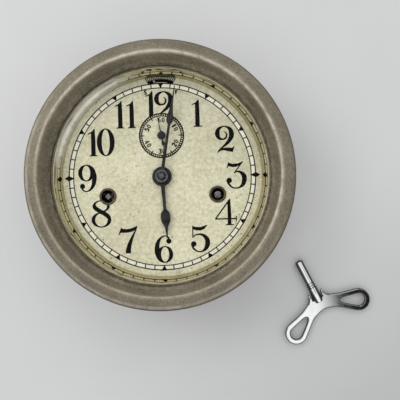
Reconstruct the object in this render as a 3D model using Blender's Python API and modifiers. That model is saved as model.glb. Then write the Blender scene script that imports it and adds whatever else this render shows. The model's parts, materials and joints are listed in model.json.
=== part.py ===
"""Ship's deck clock with a screw-on bezel, an eight-day lever movement and its winding key.

The clock lies on its back: +Z leaves the dial, +Y points to 12 and +X to 3.
The origin is the centre of the flat back. Sizes below are in millimetres.
"""

import math

import bmesh
import bpy
from mathutils import Matrix, Vector

MM = 0.001
GAP = 0.3
RIM_SIDES = 48

# Case and front
BEZEL_R = 83.0
CREST_R = 74.0
CREST_TOP = 67.0
FLANGE_R = 88.0
FLANGE_HOLE_R = 2.4
FLANGE_HOLES_AT = 81.5
CASE_R = 74.0
CASE_WALL = 1.5
COLLAR_R = 76.0
COLLAR_TOP = 58.6
GLASS_Z = 59.0
GLASS_T = 1.2
LIP_R = 67.0
DIAL_Z = 48.0
DIAL_T = 1.0
DIAL_R = 65.0
DIAL_FEET_AT = 58.0
WINDING_HOLE_R = 4.9
MIRROR_LOW_R = 63.4
MIRROR_TOP_R = 66.4
MIRROR_TOP = 57.2

# Movement
PLATE_R = 67.0
BACK_PLATE = (8.0, 9.8)
FRONT_PLATE = (36.0, 37.8)
BARREL_X = 35.0
BARREL_Y = -11.9
SECOND_Y = -20.3
FOURTH_Y = 26.2
BALANCE_Y = 41.4
REGULATOR_R = 20.0
REGULATOR_DEG = 102.0
SLOT_HALF_DEG = 23.0
PILLARS = ((28.0, 50.0), (-28.0, 50.0), (18.0, -57.0), (-18.0, -57.0))

# Teeth: addendum and dedendum in modules, half tip width in pitches
ADDENDUM = 0.7
DEDENDUM = 1.2
TIP = 0.07

# Hands: degrees clockwise from 12
MINUTE_DEG = 9.3
HOUR_DEG = 176.3
SECONDS_DEG = -11.4

LOOKS = {
    "nickel": ((0.42, 0.39, 0.33), 0.32, 1.0),
    "brass": ((0.68, 0.49, 0.20), 0.30, 1.0),
    "steel": ((0.55, 0.55, 0.56), 0.30, 1.0),
    "blued": ((0.02, 0.022, 0.03), 0.35, 1.0),
    "spring": ((0.22, 0.25, 0.34), 0.35, 1.0),
    "paper": ((0.72, 0.68, 0.50), 0.75, 0.0),
    "glass": ((0.90, 0.95, 0.95), 0.05, 0.0),
    "chrome": ((0.75, 0.75, 0.75), 0.12, 1.0),
}


def polar(radius, degrees, centre=(0.0, 0.0)):
    """A point at an angle counter-clockwise from +X."""
    a = math.radians(degrees)
    return centre[0] + radius * math.cos(a), centre[1] + radius * math.sin(a)


FOURTH = (0.0, FOURTH_Y)
SECOND = (0.0, SECOND_Y)
BALANCE = (0.0, BALANCE_Y)
CENTRE = (0.0, 0.0)
THIRD = (11.6, 13.8)
ESCAPE = polar(14.85, 169.0, FOURTH)
PALLET = polar(7.2, 84.0, ESCAPE)
MINUTE_WHEEL = polar(14.4, 210.0)
COCK_FOOT = polar(16.2, 30.0, BALANCE)


def collection(name):
    made = bpy.data.collections.new(name)
    bpy.context.scene.collection.children.link(made)
    return made


def clear_scene():
    for obj in list(bpy.data.objects):
        bpy.data.objects.remove(obj, do_unlink=True)


clear_scene()
CLOCK = collection("deck_clock")
CUTTERS = collection("cutters")


def dress(obj, look):
    """Give a piece a material of its own."""
    color, rough, metal = LOOKS[look]
    mat = bpy.data.materials.new(obj.name)
    mat.use_nodes = True
    shader = mat.node_tree.nodes["Principled BSDF"]
    shader.inputs["Base Color"].default_value = (*color, 1.0)
    shader.inputs["Roughness"].default_value = rough
    shader.inputs["Metallic"].default_value = metal
    obj.data.materials.clear()
    obj.data.materials.append(mat)


def add_object(name, mesh, centre):
    obj = bpy.data.objects.new(name, mesh)
    obj.location = (centre[0] * MM, centre[1] * MM, 0.0)
    CLOCK.objects.link(obj)
    return obj


def turned(name, profile, look, centre=CENTRE, steps=24):
    """Turn (radius, z) points about the vertical through centre.

    A profile that starts or ends off the axis is closed into a ring.
    """
    mesh = bpy.data.meshes.new(name)
    points = [(r * MM, 0.0, z * MM) for r, z in profile]
    edges = [(i, i + 1) for i in range(len(points) - 1)]
    if profile[0][0] > 0.0:
        edges.append((len(points) - 1, 0))
    mesh.from_pydata(points, edges, [])
    obj = add_object(name, mesh, centre)
    screw = obj.modifiers.new("turn", "SCREW")
    screw.axis = "Z"
    screw.steps = steps
    screw.render_steps = steps
    screw.use_merge_vertices = True
    screw.merge_threshold = 0.00001
    screw.use_smooth_shade = True
    dress(obj, look)
    return obj


def shaft(name, steps_up, look, centre=CENTRE, sides=12):
    """A solid arbor from (radius, low z, high z) lengths, listed from the top down."""
    profile = [(0.0, steps_up[0][2])]
    for radius, low, high in steps_up:
        profile += [(radius, high), (radius, low)]
    profile.append((0.0, steps_up[-1][1]))
    return turned(name, profile, look, centre, sides)


def ring(name, inner, outer, low, high, look, centre=CENTRE, steps=24):
    profile = [(outer, high), (outer, low), (inner, low), (inner, high)]
    return turned(name, profile, look, centre, steps)


def circle(radius, centre=CENTRE, points=12):
    return [polar(radius, 360.0 * i / points, centre) for i in range(points)]


def arc(radius, start, end, centre, points):
    """Points from start to end degrees, both included."""
    return [
        polar(radius, start + (end - start) * i / (points - 1), centre)
        for i in range(points)
    ]


def link(a, radius_a, b, radius_b, points=7):
    """The outline of two discs joined by straight sides."""
    heading = math.degrees(math.atan2(b[1] - a[1], b[0] - a[0]))
    back = arc(radius_a, heading + 90, heading + 270, a, points)
    return back + arc(radius_b, heading - 90, heading + 90, b, points)


def flat(name, outlines, low, high, look):
    """A plate between two heights: the first outline is its edge, the rest are holes."""
    curve = bpy.data.curves.new(name, "CURVE")
    curve.dimensions = "2D"
    curve.fill_mode = "BOTH"
    curve.extrude = (high - low) / 2 * MM
    for outline in outlines:
        spline = curve.splines.new("POLY")
        spline.points.add(len(outline) - 1)
        spline.use_cyclic_u = True
        for point, (x, y) in zip(spline.points, outline):
            point.co = (x * MM, y * MM, 0.0, 1.0)
    drawn = bpy.data.objects.new(name + "_outline", curve)
    drawn.location.z = (low + high) / 2 * MM
    CLOCK.objects.link(drawn)
    bpy.context.view_layer.update()
    graph = bpy.context.evaluated_depsgraph_get()
    mesh = bpy.data.meshes.new_from_object(drawn.evaluated_get(graph))
    bm = bmesh.new()
    bm.from_mesh(mesh)
    bmesh.ops.remove_doubles(bm, verts=bm.verts, dist=0.000002)
    bmesh.ops.recalc_face_normals(bm, faces=bm.faces)
    bm.to_mesh(mesh)
    bm.free()
    obj = bpy.data.objects.new(name, mesh)
    obj.matrix_world = drawn.matrix_world.copy()
    CLOCK.objects.link(obj)
    bpy.data.objects.remove(drawn, do_unlink=True)
    dress(obj, look)
    return obj


def hide_as_cutter(obj):
    CLOCK.objects.unlink(obj)
    CUTTERS.objects.link(obj)
    obj.hide_render = True
    obj.display_type = "WIRE"


def combine(obj, other, operation):
    """Join another piece to this one, or cut it away."""
    step = obj.modifiers.new(operation.lower(), "BOOLEAN")
    step.operation = operation
    step.solver = "EXACT"
    step.object = other
    hide_as_cutter(other)
    return obj


def pivot_at(obj, centre):
    """Move a piece's origin to its joint axis and leave its shape in place."""
    target = Vector((centre[0] * MM, centre[1] * MM, obj.location.z))
    shift = target - obj.location
    obj.data.transform(Matrix.Translation(-shift))
    obj.location = target
    return obj


# Gears


def teeth_outline(teeth, module, centre, phase):
    """Teeth with flat tips and pointed roots; phase is one tooth's angle in radians."""
    pitch = 2 * math.pi / teeth
    radius = teeth * module / 2
    outline = []
    for i in range(teeth):
        a = phase + i * pitch
        for turn, r in (
            (-TIP * pitch, radius + ADDENDUM * module),
            (TIP * pitch, radius + ADDENDUM * module),
            (pitch / 2, radius - DEDENDUM * module),
        ):
            outline.append(polar(r, math.degrees(a + turn), centre))
    return outline


def meshing_phase(centre, teeth, phase, other, other_teeth):
    """The other gear's phase at which its gaps take this gear's teeth."""
    heading = math.atan2(other[1] - centre[1], other[0] - centre[0])
    offset = (heading - phase) * teeth / (2 * math.pi)
    return heading + math.pi - (0.5 - offset) * 2 * math.pi / other_teeth


def crossings(centre, inner, outer, arms, arm_width=2.4, points=5):
    """Window outlines that leave straight-sided arms in a wheel."""
    windows = []
    for i in range(arms):
        start = 360.0 * i / arms
        end = start + 360.0 / arms
        far = math.degrees(arm_width / 2 / outer)
        near = math.degrees(arm_width / 2 / inner)
        windows.append(
            arc(outer, start + far, end - far, centre, points)
            + arc(inner, end - near, start + near, centre, 3)
        )
    return windows


def wheel(name, teeth, module, centre, phase, low, high, bore, arms=4, look="brass"):
    """A crossed-out train wheel."""
    rim = teeth * module / 2 - 2.6 * module - 0.6
    outlines = [teeth_outline(teeth, module, centre, phase), circle(bore, centre, 16)]
    if arms:
        outlines += crossings(centre, bore + 2.2, rim, arms)
    return pivot_at(flat(name, outlines, low, high, look), centre)


def pinion_arbor(name, lengths, teeth, module, centre, phase, low, high):
    """A steel arbor with its leaves cut in one piece."""
    arbor = shaft(name, lengths, "steel", centre)
    outline = teeth_outline(teeth, module, centre, phase)
    leaves = flat(name + "_leaves", [outline], low, high, "steel")
    return combine(arbor, leaves, "UNION")


# Case


def make_case():
    """Drum with a wide back flange and a collar for the bezel's thread."""
    inner = CASE_R - CASE_WALL
    profile = [
        (0.0, 3.0),
        (inner, 3.0),
        (inner, COLLAR_TOP),
        (COLLAR_R, COLLAR_TOP),
        (COLLAR_R, 50.4),
        (CASE_R, 49.2),
        (CASE_R, 4.0),
        (CASE_R + 1.5, 2.6),
        (FLANGE_R - 0.8, 2.4),
        (FLANGE_R, 1.6),
        (FLANGE_R, 0.0),
        (0.0, 0.0),
    ]
    case = turned("case_drum", profile, "nickel", steps=RIM_SIDES)
    for i in range(3):
        hole = polar(FLANGE_HOLES_AT, 90 + 120 * i)
        drill = shaft(f"flange_hole_{i}", [(FLANGE_HOLE_R, -2, 6)], "nickel", hole)
        combine(case, drill, "DIFFERENCE")
    for i, centre in enumerate(PILLARS):
        sunk = shaft(f"back_hole_{i}", [(1.8, 1.9, 5), (3.3, -2, 1.9)], "nickel", centre)
        combine(case, sunk, "DIFFERENCE")


def make_bezel():
    """Cast bezel ring: rolled edge, straight slope, narrow crest and a hollow cove."""
    slope = [(75.0, 66.7), (78.5, 64.9), (82.0, 62.8)]
    edge = [(BEZEL_R, 61.0), (BEZEL_R - 0.4, 58.8), (80.8, 57.6)]
    skirt = [(79.4, 56.8), (79.4, 50.0), (76.4, 50.0), (76.4, 58.9)]
    seat = [(70.4, 58.9), (70.4, 60.5), (LIP_R, 60.5), (LIP_R, 61.0)]
    cove = [(69.0, 61.6), (71.0, 63.2), (72.6, 65.2), (73.3, 66.5), (CREST_R, CREST_TOP)]
    turned("bezel_ring", slope + edge + skirt + seat + cove, "nickel", steps=RIM_SIDES)


def make_glass():
    """Glass disc and the ring that holds it up against the bezel's seat."""
    shaft("glass", [(70.0, GLASS_Z, GLASS_Z + GLASS_T)], "glass", sides=RIM_SIDES)
    ring("glass_retaining_ring", LIP_R - 0.1, 71.9, 57.6, GLASS_Z - GAP, "brass", steps=RIM_SIDES)


def make_reflector():
    """Polished ring that fills the space between the dial and the glass."""
    low = DIAL_Z + GAP
    profile = [
        (MIRROR_TOP_R + 1.0, MIRROR_TOP),
        (MIRROR_LOW_R + 1.0, low),
        (MIRROR_LOW_R, low),
        (MIRROR_TOP_R, MIRROR_TOP),
    ]
    turned("reflector_ring", profile, "chrome", steps=RIM_SIDES)


def slot_outline():
    """The slow-fast slot, an arc about the balance staff with round ends."""
    low = 90 - SLOT_HALF_DEG
    high = 90 + SLOT_HALF_DEG
    outer = arc(REGULATOR_R + 1.0, low, high, BALANCE, 7)
    inner = arc(REGULATOR_R - 1.0, high, low, BALANCE, 7)
    return outer + inner


def make_dial():
    """Dial plate with three feet that stand on the front plate."""
    outlines = [circle(DIAL_R, points=RIM_SIDES), circle(4.8), circle(1.6, FOURTH), slot_outline()]
    for side in (-1, 1):
        outlines.append(circle(WINDING_HOLE_R, (side * BARREL_X, BARREL_Y)))
    dial = flat("dial_plate", outlines, DIAL_Z - DIAL_T, DIAL_Z, "paper")
    for i in range(3):
        foot = polar(DIAL_FEET_AT, 20 + 120 * i)
        length = (1.6, FRONT_PLATE[1] + GAP, DIAL_Z - DIAL_T / 2)
        combine(dial, shaft(f"dial_foot_{i}", [length], "brass", foot, 12), "UNION")
    return dial


def make_grommets():
    """Brass eyelets in the dial round the winding squares."""
    profile = [
        (5.5, DIAL_Z + 0.8),
        (5.5, DIAL_Z + GAP),
        (4.6, DIAL_Z + GAP),
        (4.6, DIAL_Z - DIAL_T - 0.8),
        (4.1, DIAL_Z - DIAL_T - 0.8),
        (4.1, DIAL_Z + 0.8),
    ]
    for side, name in ((-1, "left"), (1, "right")):
        turned(f"{name}_winding_eyelet", profile, "brass", (side * BARREL_X, BARREL_Y))


# Hands


def hand_outline(root, neck, widest, tip, widths, heading):
    """Half widths at the root, neck, belly and tip of a pear-shaped hand along heading."""
    stations = (
        (root, widths[0]),
        (neck, widths[1]),
        (neck + 0.25 * (widest - neck), 0.55 * widths[2]),
        (widest - 0.35 * (widest - neck), 0.9 * widths[2]),
        (widest, widths[2]),
        (widest + 0.2 * (tip - widest), 0.62 * widths[2]),
        (widest + 0.5 * (tip - widest), 0.28 * widths[2]),
        (tip, widths[3]),
    )
    right = [(s, -w) for s, w in stations]
    left = [(s, w) for s, w in reversed(stations)]
    a = math.radians(heading)
    return [
        (s * math.cos(a) - w * math.sin(a), s * math.sin(a) + w * math.cos(a))
        for s, w in right + left
    ]


def moved(outline, centre):
    return [(x + centre[0], y + centre[1]) for x, y in outline]


def make_hand(name, shape, hub, bore, degrees, low, high, centre=CENTRE):
    """A pear-shaped blade joined to a pierced round hub."""
    blade_outline = moved(hand_outline(*shape, 90 - degrees), centre)
    blade = flat(name + "_blade", [blade_outline], low, high, "blued")
    boss = flat(name, [circle(hub, centre, 20), circle(bore, centre, 16)], low, high, "blued")
    return pivot_at(combine(boss, blade, "UNION"), centre)


def make_hands():
    make_hand(
        "hour_hand",
        (5.0, 20.5, 26.5, 39.6, (1.3, 1.0, 3.0, 0.25)),
        6.2, 4.3, HOUR_DEG, 50.2, 50.8,
    )
    make_hand(
        "minute_hand",
        (3.5, 32.4, 36.0, 57.6, (1.1, 0.85, 2.1, 0.25)),
        4.4, 2.2, MINUTE_DEG, 52.4, 53.0,
    )
    nut = [(2.0, 55.2, 55.8), (2.4, 53.3, 55.2)]
    cap = shaft("hand_nut", nut, "blued")
    combine(cap, shaft("hand_nut_bore", [(1.3, 50.0, 54.9)], "blued"), "DIFFERENCE")
    seconds = make_hand(
        "seconds_hand",
        (1.5, 3.0, 5.0, 12.6, (0.6, 0.5, 0.5, 0.2)),
        2.6, 0.9, SECONDS_DEG, 49.2, 49.6, FOURTH,
    )
    tail = hand_outline(1.5, 3.0, 6.0, 8.2, (0.5, 0.45, 1.3, 0.8), 270 - SECONDS_DEG)
    blade = flat("seconds_tail", [moved(tail, FOURTH)], 49.2, 49.6, "blued")
    combine(seconds, blade, "UNION")


# Movement frame


def plate_holes():
    """Centre, back-plate radius and front-plate radius of every hole in the plates."""
    holes = [
        (CENTRE, 1.2, 1.6),
        (SECOND, 1.1, 1.1),
        (THIRD, 0.9, 0.9),
        (FOURTH, 0.9, 1.1),
        (ESCAPE, 0.7, 0.7),
        (PALLET, 0.7, 0.7),
        (BALANCE, 0.7, 12.2),
        ((BARREL_X, BARREL_Y), 2.1, 2.7),
        ((-BARREL_X, BARREL_Y), 2.1, 2.7),
    ]
    return holes + [(pillar, 2.7, 1.7) for pillar in PILLARS]


def make_plates():
    rim = circle(PLATE_R, points=36)
    back = [circle(r, c, 10) for c, r, _ in plate_holes()]
    front = [circle(r, c, 24 if r > 5 else 10) for c, _, r in plate_holes()]
    front.append(circle(1.2, COCK_FOOT, 10))
    flat("back_plate", [rim] + back, *BACK_PLATE, "brass")
    plate = flat("front_plate", [rim] + front, *FRONT_PLATE, "brass")
    post = shaft("minute_wheel_post", [(1.0, 37.0, 43.6)], "brass", MINUTE_WHEEL, 12)
    combine(plate, post, "UNION")


def make_pillars():
    """Hollow pillars, each with a screw through the front plate and one through the case back."""
    for i, centre in enumerate(PILLARS, 1):
        outside = [(3.5, 35.7), (3.5, 10.1), (2.4, 10.1), (2.4, 3.3)]
        bore = [(1.65, 3.3), (1.65, 35.7)]
        turned(f"pillar_{i}", outside + bore, "brass", centre, 16)
        screw = [(3.0, 38.1, 39.6), (1.4, 24.0, 38.1)]
        shaft(f"plate_screw_{i}", screw, "steel", centre, 12)
        shaft(f"case_screw_{i}", [(1.4, 1.6, 16.0), (3.0, 0.3, 1.6)], "steel", centre, 12)


# Going train


def make_winding(side, name):
    """Barrel with its cover, mainspring, winding arbor, ratchet wheel and click."""
    centre = (side * BARREL_X, BARREL_Y)
    phase = meshing_phase(SECOND, 12, 0.0, centre, 48)
    teeth = teeth_outline(48, 1.2, centre, phase)
    barrel = flat(f"{name}_barrel", [teeth, circle(2.6, centre)], 11.2, 13.4, "brass")
    wall = ring("wall", 23.6, 25.0, 13.0, 25.6, "brass", centre, 24)
    pivot_at(combine(barrel, wall, "UNION"), centre)
    ring(f"{name}_barrel_cover", 2.7, 24.8, 25.9, 26.9, "brass", centre, 24)
    make_mainspring(f"{name}_mainspring", centre)
    arbor = shaft(
        f"{name}_winding_arbor",
        [(2.3, 20.0, 38.0), (5.0, 14.0, 25.3), (2.3, 10.1, 14.0), (1.9, 8.2, 10.1)],
        "steel", centre,
    )
    square = flat(name + "_square", [circle(2.05, centre, 4)], 36.0, 47.2, "steel")
    combine(arbor, square, "UNION")
    make_ratchet(name, side, centre)


def make_mainspring(name, centre):
    """Spiral ribbon, wound halfway."""
    turns, points, thick = 4, 12, 0.9
    count = turns * points
    outer, inner = [], []
    for i in range(count + 1):
        radius = 6.6 + (22.6 - 6.6) * i / count
        angle = 360.0 * i / points
        outer.append(polar(radius + thick / 2, angle, centre))
        inner.append(polar(radius - thick / 2, angle, centre))
    pivot_at(flat(name, [outer + inner[::-1]], 14.4, 24.9, "spring"), centre)


def make_ratchet(name, side, centre):
    """Ratchet wheel on the square, and a click that stands just clear of its tips."""
    teeth, tip, root = 18, 8.0, 6.6
    outline = []
    for i in range(teeth):
        a = 360.0 * i / teeth
        outline.append(polar(tip, a, centre))
        outline.append(polar(root, a + side * 3.0, centre))
    square_hole = circle(2.3, centre, 4)
    pivot_at(
        flat(f"{name}_ratchet", [outline, square_hole], 38.4, 39.9, "steel"), centre
    )
    pivot = (centre[0] + side * 9.0, centre[1] + 8.5)
    tip_at = polar(8.9, 90 - side * 12, centre)
    body = flat(f"{name}_click", [link(pivot, 2.2, tip_at, 0.5), circle(0.9, pivot, 10)],
                38.4, 39.9, "steel")
    pivot_at(body, pivot)


def make_train():
    """Wheels and arbors from the barrels up to the escape wheel."""
    centre = [(1.1, 37.9, 54.6), (1.3, 35.7, 37.9), (1.6, 10.1, 35.7), (1.0, 8.2, 10.1)]
    pinion_arbor("centre_arbor", centre, 6, 0.796, CENTRE, 0.0, 27.5, 29.2)
    wheel("centre_wheel", 48, 0.668, CENTRE, 0.0, 30.2, 31.2, 1.8)

    phase = meshing_phase(CENTRE, 6, 0.0, SECOND, 45)
    second = [(0.9, 35.7, 37.6), (1.8, 10.1, 35.7), (0.9, 8.2, 10.1)]
    pinion_arbor("second_arbor", second, 12, 1.2, SECOND, 0.0, 11.0, 13.6)
    wheel("second_wheel", 45, 0.796, SECOND, phase, 27.8, 28.8, 2.0)

    phase = meshing_phase(CENTRE, 48, 0.0, THIRD, 6)
    third = [(0.7, 35.7, 37.6), (1.2, 10.1, 35.7), (0.7, 8.2, 10.1)]
    pinion_arbor("third_arbor", third, 6, 0.668, THIRD, phase, 29.7, 31.7)
    wheel("third_wheel", 45, 0.666, THIRD, 0.0, 32.3, 33.2, 1.4)

    phase = meshing_phase(THIRD, 45, 0.0, FOURTH, 6)
    fourth = [(0.7, 35.7, 50.4), (1.0, 10.1, 35.7), (0.7, 8.2, 10.1)]
    pinion_arbor("fourth_arbor", fourth, 6, 0.666, FOURTH, phase, 31.9, 33.6)
    wheel("fourth_wheel", 60, 0.45, FOURTH, 0.0, 24.0, 24.8, 1.2)

    phase = meshing_phase(FOURTH, 60, 0.0, ESCAPE, 6)
    escape = [(0.5, 35.7, 37.6), (0.8, 10.1, 35.7), (0.5, 8.2, 10.1)]
    pinion_arbor("escape_arbor", escape, 6, 0.45, ESCAPE, phase, 23.4, 25.4)


def make_escapement():
    """Club-toothed escape wheel, lever with its pallets, roller and balance."""
    teeth, tip, root = 15, 5.6, 4.1
    outline = []
    for i in range(teeth):
        a = 360.0 * i / teeth
        outline.append(polar(tip, a, ESCAPE))
        outline.append(polar(tip - 0.3, a + 3.5, ESCAPE))
        outline.append(polar(root, a + 5.5, ESCAPE))
    pivot_at(
        flat("escape_wheel", [outline, circle(1.0, ESCAPE, 12)], 27.6, 28.2, "brass"), ESCAPE
    )
    heading = math.degrees(math.atan2(BALANCE_Y - PALLET[1], -PALLET[0]))
    fork_tip = polar(10.9, heading, PALLET)
    lever = flat("pallet_fork", [link(PALLET, 1.2, fork_tip, 0.6)], 27.6, 28.2, "steel")
    arbor = shaft("pallet_arbor", [(0.5, 35.7, 37.6), (0.7, 10.1, 35.7), (0.5, 8.2, 10.1)],
                  "steel", PALLET, 12)
    combine(lever, arbor, "UNION")
    for i, turn in enumerate((194, 334)):
        stone = polar(4.2, turn, PALLET)
        arm = flat(f"pallet_arm_{i}", [link(PALLET, 0.7, stone, 0.4)], 27.6, 28.2, "steel")
        combine(lever, arm, "UNION")
    pivot_at(lever, CENTRE)


def make_balance():
    """Balance on its staff with hairspring, under a cock that carries the regulator."""
    rim = [circle(11.5, BALANCE, 32), circle(0.95, BALANCE, 12)]
    windows = crossings(BALANCE, 3.0, 9.9, 2, 2.2, 9)
    pivot_at(flat("balance_wheel", rim + windows, 32.4, 33.6, "brass"), BALANCE)
    staff = [(0.5, 38.6, 42.4), (0.8, 28.9, 38.6), (2.2, 27.4, 28.9), (0.8, 10.1, 27.4)]
    shaft("balance_staff", staff + [(0.5, 8.2, 10.1)], "steel", BALANCE, 12)
    make_hairspring()

    foot = flat("cock_foot", [circle(3.4, COCK_FOOT)], 38.1, 41.4, "brass")
    arm_outline = [link(COCK_FOOT, 3.4, BALANCE, 3.0), circle(0.75, BALANCE, 10)]
    arm = flat("balance_cock", arm_outline, 39.8, 41.4, "brass")
    combine(arm, foot, "UNION")
    stud_at = polar(7.6, 30, BALANCE)
    combine(arm, shaft("stud", [(0.7, 35.4, 40.6)], "steel", stud_at, 10), "UNION")
    bore = shaft("cock_screw_hole", [(1.2, 37.0, 42.0)], "brass", COCK_FOOT, 10)
    combine(arm, bore, "DIFFERENCE")
    shaft("cock_screw", [(2.2, 41.7, 43.0), (0.9, 36.6, 41.7)], "steel", COCK_FOOT, 12)

    tip = polar(REGULATOR_R, REGULATOR_DEG, BALANCE)
    outline = [link(BALANCE, 3.0, tip, 0.8), circle(0.9, BALANCE, 10)]
    lever = flat("regulator", outline, 41.7, 42.5, "steel")
    combine(lever, shaft("regulator_tip", [(0.6, 42.0, 47.9)], "steel", tip, 12), "UNION")
    pivot_at(lever, BALANCE)


def make_hairspring():
    turns, points, thick = 3, 12, 0.3
    count = turns * points
    outer, inner = [], []
    for i in range(count + 1):
        radius = 1.6 + (6.2 - 1.6) * i / count
        angle = 30 + 360.0 * (i - count) / points
        outer.append(polar(radius + thick / 2, angle, BALANCE))
        inner.append(polar(radius - thick / 2, angle, BALANCE))
    pivot_at(flat("hairspring", [outer + inner[::-1]], 35.6, 36.4, "spring"), BALANCE)


def make_motion_work():
    """Cannon pinion, minute wheel and hour wheel, twelve to one."""
    tube = ring("cannon_pinion", 1.4, 2.0, 38.3, 53.1, "steel", steps=16)
    leaves_outline = [teeth_outline(8, 0.9, CENTRE, 0.0), circle(1.7)]
    leaves = flat("cannon_leaves", leaves_outline, 38.8, 41.0, "steel")
    combine(tube, leaves, "UNION")

    phase = meshing_phase(CENTRE, 8, 0.0, MINUTE_WHEEL, 24)
    module = 0.72
    minute = flat(
        "minute_wheel",
        [teeth_outline(24, 0.9, MINUTE_WHEEL, phase), circle(1.2, MINUTE_WHEEL, 12)],
        39.0, 40.2, "brass",
    )
    pinion = flat(
        "minute_pinion",
        [teeth_outline(8, module, MINUTE_WHEEL, 0.0), circle(1.2, MINUTE_WHEEL, 12)],
        40.0, 43.0, "brass",
    )
    pivot_at(combine(minute, pinion, "UNION"), MINUTE_WHEEL)

    phase = meshing_phase(MINUTE_WHEEL, 8, 0.0, CENTRE, 32)
    hour = flat(
        "hour_wheel", [teeth_outline(32, module, CENTRE, phase), circle(3.0)], 41.4, 42.6, "brass"
    )
    pipe = ring("hour_pipe", 2.5, 4.0, 41.6, 51.4, "brass", steps=16)
    combine(hour, pipe, "UNION")


# Winding key

KEY_TURN = -1.27
KEY_TIP = (94.7, -58.9)
KEY_HUB = (111.2, -90.6)
KEY_RIGHT = (147.0, -86.2)
KEY_LEFT = (88.5, -118.2)
KEY_HEART = (109.6, -87.6)
KEY_LIFT = 3.2
KEY_WING_T = 2.8
KEY_BARREL_R = 3.2


def on_table(point):
    """A point of the key in the clock's own directions."""
    a = math.radians(KEY_TURN)
    x, y = point
    return x * math.cos(a) - y * math.sin(a), x * math.sin(a) + y * math.cos(a)


def towards(start, end, distance):
    """The point that far from start on the way to end."""
    part = distance / math.dist(start, end)
    return tuple(a + (b - a) * part for a, b in zip(start, end))


def key_loop(end, heart):
    """Outline of one wing: a wide disc at its end that narrows towards the middle, and its hole."""
    middle = towards(end, heart, 8.0)
    edge = link(middle, 8.0, towards(heart, end, 1.5), 4.0, 10)
    hole = link(middle, 4.5, towards(end, heart, 21.0), 1.3, 8)
    return edge, hole


def make_key():
    """Double-ended thumb loops on a square-socket barrel, lying on the table."""
    points = (KEY_TIP, KEY_HUB, KEY_HEART, KEY_RIGHT, KEY_LEFT)
    tip, hub, heart, right, left = (on_table(p) for p in points)
    low, high = KEY_LIFT - KEY_WING_T / 2, KEY_LIFT + KEY_WING_T / 2
    wings = flat("key_wings", key_loop(right, heart), low, high, "chrome")
    combine(wings, flat("key_wing_left", key_loop(left, heart), low, high, "chrome"), "UNION")
    web = link(hub, 4.2, towards(hub, tip, 5.2), 5.0)
    combine(wings, flat("key_web", [web], low, high, "chrome"), "UNION")

    axis = Vector((tip[0] - hub[0], tip[1] - hub[1], 0.0)).normalized()
    spin = axis.to_track_quat("Z", "Y").to_matrix().to_4x4()
    place = Matrix.Translation(Vector((hub[0] * MM, hub[1] * MM, KEY_LIFT * MM))) @ spin
    length = math.dist(tip, hub)
    profile = [
        (0.0, length - 13.0),
        (1.5, length - 13.0),
        (1.5, length),
        (2.5, length),
        (2.5, 16.0),
        (KEY_BARREL_R, 15.0),
        (KEY_BARREL_R, 2.6),
        (0.0, 2.6),
    ]
    barrel = turned("key_barrel", profile, "chrome", steps=16)
    barrel.matrix_world = place
    slot = shaft("key_slot", [(KEY_BARREL_R + GAP, 2.3, length)], "chrome", sides=16)
    slot.matrix_world = place
    combine(wings, slot, "DIFFERENCE")


def build_clock():
    make_case()
    make_bezel()
    make_glass()
    make_reflector()
    make_dial()
    make_grommets()
    make_hands()
    make_plates()
    make_pillars()
    for side, name in ((-1, "left"), (1, "right")):
        make_winding(side, name)
    make_train()
    make_escapement()
    make_balance()
    make_motion_work()
    make_key()


build_clock()
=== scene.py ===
"""Looks of the ship's deck clock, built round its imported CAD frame. Lengths are in millimetres."""

import json
import math

import bmesh
import bpy
from mathutils import Matrix, Vector
from mathutils.geometry import tessellate_polygon


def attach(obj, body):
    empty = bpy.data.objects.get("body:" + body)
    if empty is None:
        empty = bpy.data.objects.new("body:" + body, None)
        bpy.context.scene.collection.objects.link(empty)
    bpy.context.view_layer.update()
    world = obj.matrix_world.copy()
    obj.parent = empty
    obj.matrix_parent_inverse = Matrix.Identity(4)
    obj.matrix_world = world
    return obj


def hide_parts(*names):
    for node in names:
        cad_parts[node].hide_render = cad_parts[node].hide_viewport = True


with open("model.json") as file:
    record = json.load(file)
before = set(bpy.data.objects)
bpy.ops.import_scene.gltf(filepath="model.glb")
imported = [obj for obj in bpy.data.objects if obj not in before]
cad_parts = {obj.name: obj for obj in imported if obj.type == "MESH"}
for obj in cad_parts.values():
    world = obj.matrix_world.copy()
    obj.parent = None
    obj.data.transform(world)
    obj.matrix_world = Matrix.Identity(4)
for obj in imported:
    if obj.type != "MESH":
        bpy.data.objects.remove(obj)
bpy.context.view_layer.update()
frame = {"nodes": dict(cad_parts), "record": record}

MM = 0.001


# Driving dimensions: the case, the dial and its printing
RIM_STEPS = 192
DIAL_Z = 48.0
INK_Z = DIAL_Z + 0.02
INK_T = 0.04
BARREL = (35.0, -11.9)
SECONDS = (0.0, 26.2)
BALANCE = (0.0, 41.4)
EYELET_HOLE_R = 4.9
SLOT_R = 20.0
SLOT_HALF_WIDTH = 1.05
SLOT_HALF_DEG = 21.5
COMB_IN = 21.3
COMB_OUT = 24.1
LETTER_R = 54.7
LETTER_H = 2.6
REGULATOR_DEG = -12.0
TRACK_OUT = 59.4
TRACK_IN = 56.6
NUMERAL_R = 46.2
NUMERAL_H = 17.5
SECONDS_OUT = 14.0
SECONDS_IN = 12.5
MINUTE_DEG = 9.3
HOUR_DEG = 176.3
SECONDS_DEG = -11.4
HOUR_Z = 50.2
MINUTE_Z = 52.4
SECONDS_Z = 49.2
HAND_T = 0.6
SECONDS_HAND_T = 0.35
HAND_EDGE = 0.12
FLANGE_HOLE_R = 81.5
CASE_SCREWS = ((28.0, 50.0), (-28.0, 50.0), (18.0, -57.0), (-18.0, -57.0))
DIAL_FOOT_R = 58.0

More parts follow.
